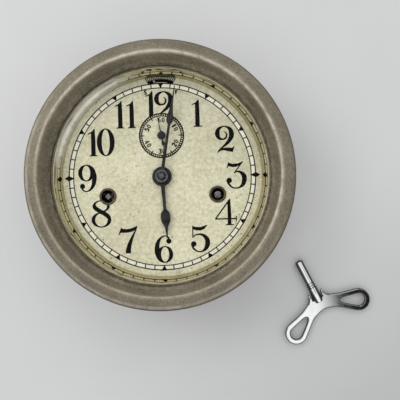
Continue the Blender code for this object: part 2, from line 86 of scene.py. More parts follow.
# The winding key: its tip, hub and loop ends on the table, before the whole key is turned
KEY_TURN_DEG = -1.27
KEY_TIP = (94.7, -58.9)
KEY_HUB = (111.2, -90.6)
KEY_ENDS = ((147.0, -86.2), (88.5, -118.2))
KEY_HEART = 3.4
KEY_Z = 3.2
KEY_HALF_T = 1.4
KEY_EDGE = 0.85
KEY_LOOP_R = 8.1
KEY_EYE_R = 4.3

# The studio, in metres, watts and degrees
CAMERA_PLACE = (0.0323, -0.0223, 0.348)
CAMERA_TURN_DEG = -1.27
CAMERA_SHIFT = (-0.0347, 0.0263)
CAMERA_LENS = 42.354
LIGHT_AIM = (0.0, 0.0, 0.03)
SKY_BANDS = ((0.0, 0.40), (0.14, 0.40), (0.20, 0.03), (0.62, 0.92))
SKY_STRENGTH = 1.08
DARK_GAP = (0.37, -0.16, 0.915)


# Materials


class Tree:
    """Short calls for building any node tree."""

    def __init__(self, tree):
        self.tree = tree

    def add(self, kind, **values):
        made = self.tree.nodes.new(kind)
        for key, value in values.items():
            setattr(made, key, value)
        return made

    def join(self, out, into):
        self.tree.links.new(out, into)

    def ramp(self, value, *stops):
        """Stops are (position, grey) or (position, (r, g, b))."""
        made = self.add("ShaderNodeValToRGB")
        elements = made.color_ramp.elements
        while len(elements) < len(stops):
            elements.new(0.5)
        for element, (position, color) in zip(elements, stops):
            element.position = position
            shade = (color,) * 3 if isinstance(color, float) else color
            element.color = (*shade, 1.0)
        self.join(value, made.inputs["Fac"])
        return made.outputs["Color"]

    def math(self, operation, a, b=0.0):
        made = self.add("ShaderNodeMath", operation=operation)
        for socket, value in zip(made.inputs, (a, b)):
            if isinstance(value, (int, float)):
                socket.default_value = value
            else:
                self.join(value, socket)
        return made.outputs[0]

    def times(self, a, b):
        return self.math("MULTIPLY", a, b)

    def mix(self, factor, a, b, blend="MIX"):
        made = self.add("ShaderNodeMix", data_type="RGBA", blend_type=blend)
        for socket, value in zip((made.inputs[0], made.inputs[6], made.inputs[7]), (factor, a, b)):
            if isinstance(value, (int, float)):
                socket.default_value = value
            elif isinstance(value, tuple):
                socket.default_value = (*value, 1.0)
            else:
                self.join(value, socket)
        return made.outputs[2]


class Nodes(Tree):
    """A new material, with the patterns that the looks are made of."""

    def __init__(self, name, color, rough, metal=0.0):
        self.mat = bpy.data.materials.new(name)
        self.mat.use_nodes = True
        super().__init__(self.mat.node_tree)
        self.shader = self.tree.nodes["Principled BSDF"]
        self.shader.inputs["Base Color"].default_value = (*color, 1.0)
        self.shader.inputs["Roughness"].default_value = rough
        self.shader.inputs["Metallic"].default_value = metal
        self.place = self.add("ShaderNodeTexCoord").outputs["Object"]

    def stretched(self, scale):
        mapping = self.add("ShaderNodeMapping")
        mapping.inputs["Scale"].default_value = scale
        self.join(self.place, mapping.inputs["Vector"])
        return mapping.outputs["Vector"]

    def noise(self, scale, detail=4.0, rough=0.55, vector=None, distortion=0.0):
        made = self.add("ShaderNodeTexNoise")
        made.inputs["Scale"].default_value = scale
        made.inputs["Detail"].default_value = detail
        made.inputs["Roughness"].default_value = rough
        made.inputs["Distortion"].default_value = distortion
        self.join(vector or self.place, made.inputs["Vector"])
        return made.outputs["Fac"]

    def spots(self, scale, radius, soft):
        """White spots scattered at random."""
        cells = self.add("ShaderNodeTexVoronoi")
        cells.inputs["Scale"].default_value = scale
        self.join(self.place, cells.inputs["Vector"])
        return self.ramp(cells.outputs["Distance"], (radius, 1.0), (radius + soft, 0.0))

    def across(self, x, y):
        """How far a point lies in the direction (x, y), in millimetres."""
        made = self.add("ShaderNodeVectorMath", operation="DOT_PRODUCT")
        self.join(self.place, made.inputs[0])
        made.inputs[1].default_value = (x * 1000.0, y * 1000.0, 0.0)
        return made.outputs["Value"]

    def height(self):
        """Height above the table, in millimetres."""
        parts = self.add("ShaderNodeSeparateXYZ")
        self.join(self.place, parts.inputs[0])
        return self.times(parts.outputs[2], 1000.0)

    def around(self):
        """A vector that changes only with the angle round the dial's axis."""
        made = self.add("ShaderNodeVectorMath", operation="NORMALIZE")
        self.join(self.stretched((1.0, 1.0, 0.0)), made.inputs[0])
        return made.outputs["Vector"]

    def facing_up(self):
        """1 where the surface is level, 0 where it is upright."""
        parts = self.add("ShaderNodeSeparateXYZ")
        self.join(self.add("ShaderNodeTexCoord").outputs["Normal"], parts.inputs[0])
        return self.math("ABSOLUTE", parts.outputs[2])

    def radius(self):
        """Distance from the dial's axis, in millimetres."""
        flat = self.stretched((1000.0, 1000.0, 0.0))
        made = self.add("ShaderNodeVectorMath", operation="LENGTH")
        self.join(flat, made.inputs[0])
        return made.outputs["Value"]

    def bump(self, height, strength, distance):
        made = self.add("ShaderNodeBump")
        made.inputs["Strength"].default_value = strength
        made.inputs["Distance"].default_value = distance * MM
        self.join(height, made.inputs["Height"])
        self.join(made.outputs[0], self.shader.inputs["Normal"])

    def color(self, out):
        self.join(out, self.shader.inputs["Base Color"])

    def rough(self, value, low, high):
        self.join(self.ramp(value, (0.25, low), (0.75, high)), self.shader.inputs["Roughness"])


def worn_nickel():
    """Dull warm nickel, freckled, with dirt in patches at the lip and in the cove, painted shade in the cove,
    painted highlights on the crest and bead, and a painted dark line on the outer edge.
    """
    n = Nodes("worn_nickel", (0.3, 0.27, 0.22), 0.5, 0.72)
    cloud = n.noise(45.0, 6.0, 0.62)
    base = n.ramp(cloud, (0.3, (0.255, 0.222, 0.160)), (0.7, (0.385, 0.34, 0.255)))
    grain = n.ramp(n.noise(700.0, 5.0, 0.8), (0.34, (0.50, 0.485, 0.45)), (0.6, (1.0, 1.0, 1.0)))
    base = n.mix(0.9, base, grain, "MULTIPLY")
    reach = n.math("DIVIDE", n.radius(), 100.0)
    # Dirt in patches near the lip and in the cove; in the cove it is also painted shade, strongest on the
    # upper left.
    cove = n.ramp(reach, (0.66, 1.0), (0.682, 0.95), (0.698, 0.5), (0.716, 0.15), (0.73, 0.0))
    shaded = n.ramp(n.math("ADD", n.across(-0.0055, 0.0040), 0.5), (0.1, 0.15), (0.45, 0.4), (0.85, 1.0))
    patches = n.ramp(n.noise(170.0, 8.0, 0.78), (0.34, 0.35), (0.56, 1.0))
    lip = n.ramp(reach, (0.68, 1.0), (0.706, 0.0))
    grime_and_shade = n.times(n.math("MAXIMUM", n.times(cove, shaded), lip), patches)
    dirt_and_shade_color = n.mix(n.times(grime_and_shade, 0.92), base, (0.070, 0.058, 0.032))
    pepper = n.times(grime_and_shade, n.spots(1000.0, 0.22, 0.2))
    dirt_and_shade_color = n.mix(pepper, dirt_and_shade_color, (0.022, 0.017, 0.008))
    few = n.ramp(n.noise(60.0), (0.42, 0.0), (0.60, 0.8))
    freckles = n.times(n.spots(460.0, 0.08, 0.18), few)
    dirt_and_shade_color = n.mix(freckles, dirt_and_shade_color, (0.06, 0.05, 0.03))
    # Painted highlights, in patches, on the crest and the bead of the bezel's front.
    highlight_patches = n.ramp(n.noise(110.0, 6.0, 0.7), (0.36, 0.2), (0.62, 1.0))
    uphill = n.math("ADD", n.across(0.0035, 0.0050), 0.5)
    crest = n.times(n.ramp(reach, (0.722, 0.0), (0.736, 0.7), (0.744, 0.7), (0.766, 0.0)),
                   n.ramp(uphill, (0.25, 0.3), (0.65, 1.0)))
    bead = n.times(n.ramp(reach, (0.794, 0.0), (0.803, 0.9), (0.815, 0.9), (0.820, 0.0)),
                  n.ramp(uphill, (0.3, 1.0), (0.65, 0.1)))
    painted_highlight = n.times(n.math("ADD", crest, bead), highlight_patches)
    front = n.ramp(n.math("DIVIDE", n.height(), 100.0), (0.54, 0.0), (0.58, 1.0))
    worn = n.mix(n.times(painted_highlight, front), dirt_and_shade_color, (0.64, 0.58, 0.48))
    # Painted shade: a dark line round the rolled outer edge.
    edge_shade = n.times(n.ramp(reach, (0.818, 0.0), (0.8255, 0.9)), front)
    n.color(n.mix(edge_shade, worn, (0.07, 0.058, 0.038)))
    n.rough(n.math("ADD", n.times(cloud, 0.8), n.times(grime_and_shade, 0.3)), 0.44, 0.62)
    n.bump(n.noise(700.0, 5.0, 0.7), 0.40, 0.16)
    return n.mat


def mirror_ring():
    """Polished reflector, yellowed, with painted shade on its upper left wall and over it a painted highlight
    in streaks that glows.
    """
    n = Nodes("polished_reflector", (0.58, 0.54, 0.40), 0.09, 1.0)
    drift = n.noise(90.0, 5.0, 0.6)
    silver = n.ramp(drift, (0.3, (0.45, 0.41, 0.28)), (0.7, (0.58, 0.54, 0.39)))
    streaks = n.ramp(n.noise(9.0, 4.0, 0.5, n.around()), (0.36, 0.82), (0.62, 1.0))
    # Painted shade on the upper left wall, and over it a painted highlight in streaks.
    side = n.ramp(n.math("DIVIDE", n.across(-0.78, 0.62), 100.0), (0.50, 0.0), (0.58, 0.7), (0.63, 1.0))
    rise = n.math("DIVIDE", n.math("SUBTRACT", n.height(), 48.0), 9.2)
    glow = n.ramp(rise, (0.05, 0.25), (0.35, 0.65), (0.62, 1.0), (0.80, 0.55), (0.97, 0.35))
    painted_glow = n.times(n.times(side, glow), streaks)
    shade = n.mix(n.times(side, 0.55), silver, (0.20, 0.18, 0.15))
    n.color(n.mix(painted_glow, shade, (0.98, 0.96, 0.93)))
    n.join(n.math("SUBTRACT", 1.0, n.times(painted_glow, 0.5)), n.shader.inputs["Metallic"])
    n.join(n.math("ADD", n.times(painted_glow, 0.35), n.times(drift, 0.14)),
           n.shader.inputs["Roughness"])
    # The painted highlight also glows.
    n.join(n.times(n.math("POWER", painted_glow, 2.0), 0.30), n.shader.inputs["Emission Strength"])
    n.shader.inputs["Emission Color"].default_value = (1.0, 0.98, 0.95, 1.0)
    n.bump(n.noise(40.0, 2.0), 0.03, 0.3)
    return n.mat


def aged_dial():
    """Matt cream face with cloudy yellowing, fine mottling, a few brown specks and painted shade that darkens
    it towards the top.
    """
    n = Nodes("aged_dial", (0.72, 0.68, 0.48), 0.62)
    cloud = n.noise(22.0, 5.0, 0.6, distortion=0.4)
    base = n.ramp(cloud, (0.32, (0.70, 0.66, 0.455)), (0.68, (0.86, 0.825, 0.61)))
    # Painted shade: the face darker towards the top.
    uphill = n.math("DIVIDE", n.across(0.35, 0.94), 100.0)
    light = n.ramp(uphill, (0.0, (1.0, 1.0, 1.0)), (0.6, (0.84, 0.84, 0.85)))
    base = n.mix(1.0, base, light, "MULTIPLY")
    mottle = n.ramp(n.noise(420.0, 6.0, 0.8), (0.36, (0.60, 0.59, 0.53)), (0.60, (1.0, 1.0, 1.0)))
    base = n.mix(0.8, base, mottle, "MULTIPLY")
    few = n.ramp(n.noise(38.0), (0.46, 0.0), (0.56, 0.8))
    specks = n.times(n.spots(210.0, 0.07, 0.10), few)
    base = n.mix(specks, base, (0.22, 0.17, 0.09))
    stains = n.times(n.spots(62.0, 0.05, 0.16), n.ramp(n.noise(15.0), (0.5, 0.0), (0.62, 0.45)))
    n.color(n.mix(stains, base, (0.30, 0.25, 0.14)))
    n.rough(n.noise(300.0, 3.0), 0.5, 0.72)
    n.bump(n.noise(900.0, 4.0, 0.7), 0.12, 0.05)
    return n.mat


def white_cells():
    """The paler paint between the two lines of the minute track."""
    n = Nodes("track_white", (0.80, 0.78, 0.67), 0.6)
    n.color(n.ramp(n.noise(160.0, 5.0, 0.6), (0.3, (0.76, 0.73, 0.57)), (0.7, (0.90, 0.875, 0.72))))
    n.rough(n.noise(300.0, 3.0), 0.5, 0.7)
    return n.mat


def printed_ink():
    """Matt black printing, worn a little brown in places."""
    n = Nodes("printed_black", (0.006, 0.006, 0.005), 0.5)
    n.shader.inputs["Specular IOR Level"].default_value = 0.06
    worn = n.noise(520.0, 6.0, 0.7)
    n.color(n.ramp(worn, (0.30, (0.03, 0.027, 0.02)), (0.42, (0.004, 0.004, 0.004))))
    n.rough(worn, 0.4, 0.65)
    return n.mat


def blued_steel():
    """Blued steel gone nearly black, with brighter patches."""
    n = Nodes("blued_steel", (0.02, 0.022, 0.03), 0.38, 0.85)
    worn = n.noise(260.0, 6.0, 0.65)
    n.color(n.ramp(worn, (0.35, (0.010, 0.010, 0.010)), (0.72, (0.05, 0.05, 0.047))))
    n.rough(worn, 0.34, 0.58)
    n.bump(n.noise(800.0, 4.0), 0.12, 0.05)
    return n.mat


def metal(name, low, high, rough=(0.22, 0.42), scale=180.0):
    """Turned or brushed metal whose tone and roughness drift together."""
    n = Nodes(name, high, rough[0], 1.0)
    drift = n.noise(scale, 6.0, 0.6)
    n.color(n.ramp(drift, (0.3, low), (0.7, high)))
    n.rough(n.noise(scale * 2.5, 4.0, 0.7), *rough)
    n.bump(n.noise(scale * 5.0, 3.0), 0.08, 0.05)
    return n.mat


def bright_chrome(name, level):
    """Polished plate with a painted reflection: white where it faces up and black where its edges turn away.
    """
    n = Nodes(name, (0.85, 0.85, 0.85), 0.07, 1.0)
    drift = n.noise(90.0, 6.0, 0.6)
    flat = n.ramp(drift, (0.3, (0.82, 0.82, 0.82)), (0.7, (0.96, 0.96, 0.96)))
    # Painted reflection: black where the surface turns away from level.
    turned = n.ramp(n.facing_up(), (0.35, 1.0), (level - 0.09, 0.85), (level, 0.0))
    n.color(n.mix(turned, flat, (0.03, 0.03, 0.03)))
    n.rough(n.noise(225.0, 4.0, 0.7), 0.03, 0.10)
    n.bump(n.noise(450.0, 3.0), 0.03, 0.05)
    return n.mat


def winding_steel():
    """Old steel, bright on the key's square, with painted shade that turns the shaft below it black down in
    the hole.
    """
    n = Nodes("winding_steel", (0.2, 0.2, 0.19), 0.4, 1.0)
    tone = n.ramp(n.noise(400.0, 6.0, 0.6), (0.3, (0.10, 0.095, 0.09)), (0.7, (0.22, 0.21, 0.20)))
    # Painted shade: black below the square, down in the hole.
    hole_shade = n.ramp(n.math("DIVIDE", n.height(), 100.0), (0.40, 1.0), (0.44, 0.0))
    n.color(n.mix(hole_shade, tone, (0.006, 0.006, 0.006)))
    n.rough(n.noise(1000.0, 4.0, 0.7), 0.35, 0.5)
    n.bump(n.noise(2000.0, 3.0), 0.05, 0.05)
    return n.mat


def black_metal():
    """Matt black that stands in for shade, in the winding holes and under the slot."""
    n = Nodes("painted_shade_black", (0.01, 0.01, 0.01), 0.6)
    n.shader.inputs["Specular IOR Level"].default_value = 0.08
    n.color(n.ramp(n.noise(300.0), (0.4, (0.003, 0.003, 0.003)), (0.7, (0.012, 0.011, 0.010))))
    return n.mat


def clear_glass():
    """Thin clear glass with a trace of dust."""
    n = Nodes("clear_glass", (0.02, 0.02, 0.02), 0.05)
    n.shader.inputs["Alpha"].default_value = 0.015
    n.rough(n.noise(120.0, 5.0), 0.03, 0.12)
    return n.mat


def table_top():
    """Plain white paper, with painted shade that makes it a little greyer towards the lower right."""
    n = Nodes("white_table", (0.62, 0.62, 0.62), 0.6)
    base = n.ramp(n.noise(9.0, 3.0), (0.3, (0.605, 0.615, 0.61)), (0.7, (0.63, 0.63, 0.625)))
    # Painted shade: greyer towards the lower right, where the light falls off.
    away = n.ramp(n.across(0.0025, -0.0030), (0.38, (1.0, 1.0, 1.0)), (0.85, (0.80, 0.80, 0.80)))
    n.color(n.mix(1.0, base, away, "MULTIPLY"))
    return n.mat


LOOK = {
    "nickel": worn_nickel(),
    "mirror": mirror_ring(),
    "dial": aged_dial(),
    "cells": white_cells(),
    "ink": printed_ink(),
    "blued": blued_steel(),
    "brass": metal("tarnished_brass", (0.36, 0.25, 0.10), (0.64, 0.47, 0.21)),
    "steel": metal("turned_steel", (0.36, 0.36, 0.355), (0.60, 0.60, 0.59)),
    "spring": metal("spring_steel", (0.10, 0.12, 0.20), (0.26, 0.29, 0.38)),
    "old_steel": winding_steel(),
    "nut": metal("browned_steel", (0.05, 0.052, 0.055), (0.13, 0.135, 0.135), (0.28, 0.42), 300.0),
    "seat": metal("dull_seat_ring", (0.26, 0.235, 0.18), (0.42, 0.385, 0.30), (0.35, 0.5), 300.0),
    "chrome": bright_chrome("bright_chrome", 0.995),
    "pipe": bright_chrome("turned_chrome", 0.97),
    "eyelet": metal("dark_eyelet", (0.045, 0.035, 0.022), (0.16, 0.125, 0.075), (0.3, 0.5), 500.0),
    "black": black_metal(),
    "glass": clear_glass(),
}

# The look of each CAD node by its material slot, and the nodes that differ from it
SLOT_LOOK = {
    "nickel": "nickel", "brass": "brass", "steel": "steel", "blued_steel": "blued",
    "spring_steel": "spring", "dial_face": "dial", "glass": "glass", "chrome": "chrome",
}
NODE_LOOK = {"left_winding_arbor": "old_steel", "right_winding_arbor": "old_steel", "fourth_arbor": "blued"}


def dress_cad_nodes():
    """Give every CAD node a finished material, by its slot or by its name."""
    for part in frame["record"]["subparts"]:
        obj = frame["nodes"][part["node"]]
        obj.data.materials.clear()
        look = NODE_LOOK.get(part["node"], SLOT_LOOK[part["material_slot"]])
        obj.data.materials.append(LOOK[look])


# Geometry


def polar(radius, degrees, centre=(0.0, 0.0)):
    """A point at an angle clockwise from 12, as on a dial."""
    a = math.radians(degrees)
    return centre[0] + radius * math.sin(a), centre[1] + radius * math.cos(a)


def round_outline(centre, radius, points):
    """Points evenly round a circle."""
    turn = [2 * math.pi * i / points for i in range(points)]
    return [(centre[0] + radius * math.cos(a), centre[1] + radius * math.sin(a)) for a in turn]


def piece(name, bm, look, body, node=None, smooth=35.0):
    """Finish a mesh as a piece that rides on a body and may stand for CAD nodes."""
    bmesh.ops.recalc_face_normals(bm, faces=bm.faces)
    mesh = bpy.data.meshes.new(name)
    bm.to_mesh(mesh)
    bm.free()
    mesh.shade_smooth()
    mesh.set_sharp_from_angle(angle=math.radians(smooth))
    mesh.materials.append(LOOK[look])
    obj = bpy.data.objects.new(name, mesh)
    bpy.context.scene.collection.objects.link(obj)
    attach(obj, body)
    if node:
        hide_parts(*([node] if isinstance(node, str) else node))
    return obj


def rounded(profile, corners, points=5):
    """Replace the profile corners named in corners {index: radius} with arcs."""
    made = []
    count = len(profile)
    for i, here in enumerate(profile):
        if i not in corners:
            made.append(here)
            continue
        p = Vector(here)
        a = (Vector(profile[i - 1]) - p).normalized()
        b = (Vector(profile[(i + 1) % count]) - p).normalized()
        start, end = p + a * corners[i], p + b * corners[i]
        for k in range(points + 1):
            t = k / points
            made.append(tuple((1 - t) ** 2 * start + 2 * t * (1 - t) * p + t * t * end))
    return made


def smooth_path(points, per=8):
    """Catmull-Rom points through a list of vectors of any size."""
    made = []
    last = len(points) - 1
    for i in range(last):
        p0, p1 = points[max(i - 1, 0)], points[i]
        p2, p3 = points[i + 1], points[min(i + 2, last)]
        for k in range(per):
            t = k / per
            made.append(tuple(
                0.5 * (2 * b + (c - a) * t + (2 * a - 5 * b + 4 * c - d) * t * t
                       + (3 * b - a - 3 * c + d) * t ** 3)
                for a, b, c, d in zip(p0, p1, p2, p3)
            ))
    return made + [tuple(points[-1])]


def spun(profile, steps=RIM_STEPS, centre=(0.0, 0.0), closed=True):
    """Turn (radius, z) points into a ring, or a solid when the profile meets the axis."""
    bm = bmesh.new()
    rows = []
    for i in range(steps):
        a = 2 * math.pi * i / steps
        rows.append([
            bm.verts.new(((centre[0] + r * math.cos(a)) * MM, (centre[1] + r * math.sin(a)) * MM, z * MM))
            for r, z in profile
        ])
    span = len(profile) if closed else len(profile) - 1
    for i in range(steps):
        for j in range(span):
            k = (j + 1) % len(profile)
            bm.faces.new((rows[i][j], rows[i - 1][j], rows[i - 1][k], rows[i][k]))
    bmesh.ops.remove_doubles(bm, verts=bm.verts, dist=1e-7)
    return bm


def prism(bm, outline, low, high):
    """Add a closed plate with that outline between two heights."""
    triangles = tessellate_polygon([[Vector((x, y, 0)) for x, y in outline]])
    top = [bm.verts.new((x * MM, y * MM, high * MM)) for x, y in outline]
    bottom = [bm.verts.new((x * MM, y * MM, low * MM)) for x, y in outline]
    for a, b, c in triangles:
        bm.faces.new((top[a], top[b], top[c]))
        bm.faces.new((bottom[c], bottom[b], bottom[a]))
    for i in range(len(outline)):
        bm.faces.new((top[i - 1], top[i], bottom[i], bottom[i - 1]))


def band(bm, left, right, low, high, closed=False):
    """Add a closed strip between two lines of points."""
    rows = [
        [bm.verts.new((x * MM, y * MM, z * MM)) for x, y, z in
         ((*a, high), (*b, high), (*b, low), (*a, low))]
        for a, b in zip(left, right)
    ]
    span = len(rows) if closed else len(rows) - 1
    for i in range(span):
        one, two = rows[i], rows[(i + 1) % len(rows)]
        for k in range(4):
            m = (k + 1) % 4
            bm.faces.new((one[k], two[k], two[m], one[m]))
    if not closed:
        bm.faces.new(rows[0])
        bm.faces.new(rows[-1][::-1])


class Ink:
    """Printing on the dial: thin raised shapes placed by a turn and a shift."""

    def __init__(self, z=INK_Z):
        self.bm = bmesh.new()
        self.z = z
        self.lift = 0
        self.weight = 1.0
        self.at(0.0, 0.0)

    def at(self, x, y, scale=1.0, degrees=0.0):
        """Where the next shapes go; degrees turn them clockwise."""
        a = math.radians(-degrees)
        self.frame = (x, y, scale * math.cos(a), scale * math.sin(a))
        return self

    def put(self, points):
        x0, y0, c, s = self.frame
        return [(x0 + x * c - y * s, y0 + x * s + y * c) for x, y in points]

    def heights(self):
        """Each shape is a hair higher than the last, so that their tops never coincide."""
        self.lift = (self.lift + 1) % 7
        return self.z, self.z + INK_T + 0.002 * self.lift

    def shape(self, points):
        prism(self.bm, self.put(points), *self.heights())

    def loop(self, outer, inner):
        band(self.bm, self.put(outer), self.put(inner), *self.heights(), closed=True)

    def circle(self, x, y, rx, ry, thick_x, thick_y, points=48):
        turn = [2 * math.pi * i / points for i in range(points)]
        inner_x, inner_y = rx - thick_x * self.weight, ry - thick_y * self.weight
        self.loop(
            [(x + rx * math.cos(a), y + ry * math.sin(a)) for a in turn],
            [(x + inner_x * math.cos(a), y + inner_y * math.sin(a)) for a in turn],
        )

    def ball(self, x, y, r):
        self.shape(round_outline((x, y), r, 20))

    def stroke(self, *stations, per=8):
        """A pen line through (x, y, width) stations, straight when there are only two."""
        path = smooth_path(stations, per) if len(stations) > 2 else stations
        left, right = [], []
        for i, (x, y, w) in enumerate(path):
            x0, y0, _ = path[max(i - 1, 0)]
            x1, y1, _ = path[min(i + 1, len(path) - 1)]
            d = math.hypot(x1 - x0, y1 - y0) or 1.0
            nx, ny = -(y1 - y0) / d * w / 2 * self.weight, (x1 - x0) / d * w / 2 * self.weight
            left.append((x + nx, y + ny))
            right.append((x - nx, y - ny))
        band(self.bm, self.put(left), self.put(right), *self.heights())


# Numerals: thick stems, hairlines and ball ends, one unit tall from the baseline


def one(ink):
    ink.shape([
        (-0.08, 0.02), (0.08, 0.02), (0.08, 0.6), (0.06, 1.0), (0.035, 1.0), (-0.05, 0.90),
        (-0.20, 0.825), (-0.195, 0.79), (-0.08, 0.83),
    ])
    ink.shape([(-0.15, 0.0), (0.15, 0.0), (0.15, 0.025), (0.09, 0.05), (-0.09, 0.05), (-0.15, 0.025)])


def two(ink, foot=True):
    ink.stroke(
        (0.0, 0.77, 0.025), (0.045, 0.73, 0.04), (0.085, 0.65, 0.06), (0.04, 0.535, 0.065),
        (-0.08, 0.495, 0.07), (-0.20, 0.55, 0.12), (-0.255, 0.70, 0.175), (-0.20, 0.87, 0.12),
        (0.0, 0.965, 0.045), (0.20, 0.87, 0.13), (0.26, 0.70, 0.185), (0.235, 0.55, 0.165),
        (0.12, 0.375, 0.12), (-0.045, 0.23, 0.07), (-0.19, 0.105, 0.045), (-0.26, 0.01, 0.035),
    )
    if not foot:
        return
    ink.stroke(
        (-0.26, 0.01, 0.035), (-0.135, 0.11, 0.06), (0.0, 0.135, 0.10), (0.13, 0.12, 0.135),
        (0.27, 0.10, 0.14),
    )
    ink.shape([(0.20, 0.05), (0.29, 0.01), (0.32, 0.10), (0.365, 0.225), (0.345, 0.235), (0.25, 0.16)])


def three(ink):
    ink.shape([
        (-0.29, 0.985), (-0.24, 0.945), (-0.12, 0.91), (0.06, 0.925), (0.235, 1.0), (0.245, 0.975),
        (0.14, 0.865), (0.0, 0.80), (-0.14, 0.79), (-0.29, 0.83), (-0.335, 0.75), (-0.36, 0.755),
    ])
    ink.stroke((0.22, 0.98, 0.05), (0.06, 0.765, 0.045), (-0.09, 0.57, 0.035))
    ink.stroke(
        (-0.09, 0.575, 0.035), (0.02, 0.63, 0.055), (0.15, 0.60, 0.10), (0.26, 0.49, 0.165),
        (0.285, 0.35, 0.18), (0.235, 0.17, 0.14), (0.12, 0.06, 0.07), (-0.02, 0.025, 0.05),
        (-0.17, 0.065, 0.055), (-0.285, 0.18, 0.075), (-0.33, 0.30, 0.08),
    )
    ink.ball(-0.27, 0.31, 0.10)


def four(ink):
    ink.shape([(0.055, 0.02), (0.19, 0.02), (0.185, 0.5), (0.165, 0.97), (0.15, 0.975), (0.055, 0.78)])
    ink.stroke((0.14, 0.94, 0.055), (-0.39, 0.235, 0.05))
    ink.shape([(-0.41, 0.21), (0.37, 0.21), (0.37, 0.26), (-0.39, 0.26)])
    ink.shape([(0.355, 0.335), (0.39, 0.345), (0.39, 0.13), (0.36, 0.14), (0.35, 0.235)])
    ink.shape([(-0.035, 0.0), (0.285, 0.0), (0.285, 0.025), (0.21, 0.045), (0.04, 0.045), (-0.035, 0.025)])


def five(ink):
    ink.shape([
        (-0.275, 0.985), (-0.22, 0.95), (-0.13, 0.93), (0.03, 0.925), (0.265, 1.0), (0.27, 0.975),
        (0.16, 0.845), (0.03, 0.795), (-0.12, 0.80), (-0.275, 0.845),
    ])
    ink.shape([(-0.28, 0.97), (-0.24, 0.97), (-0.24, 0.54), (-0.28, 0.53)])
    ink.stroke(
        (-0.265, 0.545, 0.035), (-0.17, 0.63, 0.045), (-0.02, 0.66, 0.065), (0.14, 0.61, 0.11),
        (0.25, 0.48, 0.165), (0.275, 0.35, 0.18), (0.23, 0.18, 0.15), (0.11, 0.06, 0.07),
        (0.0, 0.025, 0.05), (-0.13, 0.055, 0.055), (-0.25, 0.16, 0.07), (-0.30, 0.30, 0.08),
    )
    ink.ball(-0.235, 0.31, 0.10)


def six(ink):
    ink.circle(0.035, 0.31, 0.295, 0.305, 0.15, 0.04)
    ink.stroke(
        (0.20, 0.88, 0.06), (0.13, 0.955, 0.05), (0.03, 0.98, 0.045), (-0.10, 0.92, 0.075),
        (-0.205, 0.77, 0.13), (-0.25, 0.59, 0.165), (-0.25, 0.39, 0.175), (-0.19, 0.17, 0.13),
        (-0.09, 0.055, 0.07), (0.02, 0.02, 0.04),
    )
    ink.ball(0.18, 0.79, 0.095)


def seven(ink):
    ink.shape([
        (-0.24, 0.95), (-0.2, 0.905), (-0.05, 0.885), (0.12, 0.905), (0.35, 1.0), (0.36, 0.97),
        (0.28, 0.85), (0.16, 0.785), (0.0, 0.755), (-0.16, 0.75), (-0.25, 0.755), (-0.31, 0.675),
        (-0.34, 0.68),
    ])
    ink.stroke(
        (0.34, 0.97, 0.05), (0.25, 0.76, 0.06), (0.145, 0.54, 0.10), (0.06, 0.32, 0.15),
        (0.015, 0.13, 0.18), (0.01, 0.0, 0.195),
    )


def eight(ink):
    ink.circle(0.0, 0.775, 0.315, 0.22, 0.105, 0.04)
    ink.circle(0.0, 0.275, 0.36, 0.28, 0.135, 0.045)
    ink.stroke(
        (-0.265, 0.85, 0.09), (-0.21, 0.72, 0.14), (-0.06, 0.60, 0.155), (0.12, 0.50, 0.16),
        (0.26, 0.38, 0.15), (0.30, 0.24, 0.12),
    )


def nine(ink):
    """A six turned upside down."""
    x, y, c, s = ink.frame
    ink.frame = (x - s, y + c, -c, -s)
    six(ink)
    ink.frame = (x, y, c, s)


def zero(ink):
    ink.circle(0.0, 0.5, 0.325, 0.505, 0.18, 0.04, 64)


DIGITS = (zero, one, two, three, four, five, six, seven, eight, nine)

# Half the room that a figure takes, and how far some hours lie off the ring of numerals
ONE_HALF = 0.21
WIDE_HALF = 0.245
PLAIN_HALF = 0.40
HOURS_OUT = {3: 1.0, 7: -0.4, 8: -0.6, 9: 1.7, 10: -0.8, 12: -0.2}
HOURS_RIGHT = {11: 0.7, 12: -2.0}


# The strokes of the heavy small figures on the seconds dial
PLAIN_STROKES = {
    1: (((0.0, 0.0, 0.21), (0.0, 1.0, 0.21)),
        ((-0.2, 0.76, 0.12), (0.02, 0.97, 0.14))),
    2: (((-0.24, 0.72, 0.16), (-0.12, 0.93, 0.15), (0.12, 0.93, 0.15), (0.24, 0.72, 0.2),
         (0.05, 0.42, 0.18), (-0.22, 0.1, 0.14)),
        ((-0.28, 0.07, 0.15), (0.3, 0.07, 0.15))),
    3: (((-0.24, 0.84, 0.14), (0.0, 0.95, 0.13), (0.21, 0.78, 0.18), (0.12, 0.58, 0.15),
         (-0.06, 0.54, 0.12)),
        ((-0.06, 0.54, 0.12), (0.18, 0.46, 0.16), (0.25, 0.26, 0.19), (0.05, 0.05, 0.13),
         (-0.25, 0.16, 0.14))),
    4: (((0.1, 0.0, 0.14), (0.1, 1.0, 0.14)),
        ((0.1, 0.95, 0.085), (-0.3, 0.3, 0.085)),
        ((-0.36, 0.27, 0.095), (0.34, 0.27, 0.095))),
    5: (((0.23, 0.93, 0.15), (-0.17, 0.93, 0.15)),
        ((-0.17, 0.95, 0.14), (-0.2, 0.54, 0.14)),
        ((-0.2, 0.57, 0.12), (0.05, 0.62, 0.14), (0.24, 0.42, 0.19), (0.2, 0.15, 0.17),
         (0.0, 0.05, 0.13), (-0.25, 0.13, 0.13))),
    6: (((0.2, 0.87, 0.13), (0.0, 0.95, 0.13), (-0.2, 0.7, 0.18), (-0.22, 0.35, 0.18)),),
}


def plain_digit(ink, digit):
    """Heavy small figures of even strokes, for the seconds dial."""
    if digit == 0:
        ink.circle(0.0, 0.5, 0.31, 0.52, 0.14, 0.10)
    if digit == 6:
        ink.circle(0.02, 0.29, 0.28, 0.30, 0.12, 0.09)
    for stations in PLAIN_STROKES.get(digit, ()):
        ink.stroke(*stations)


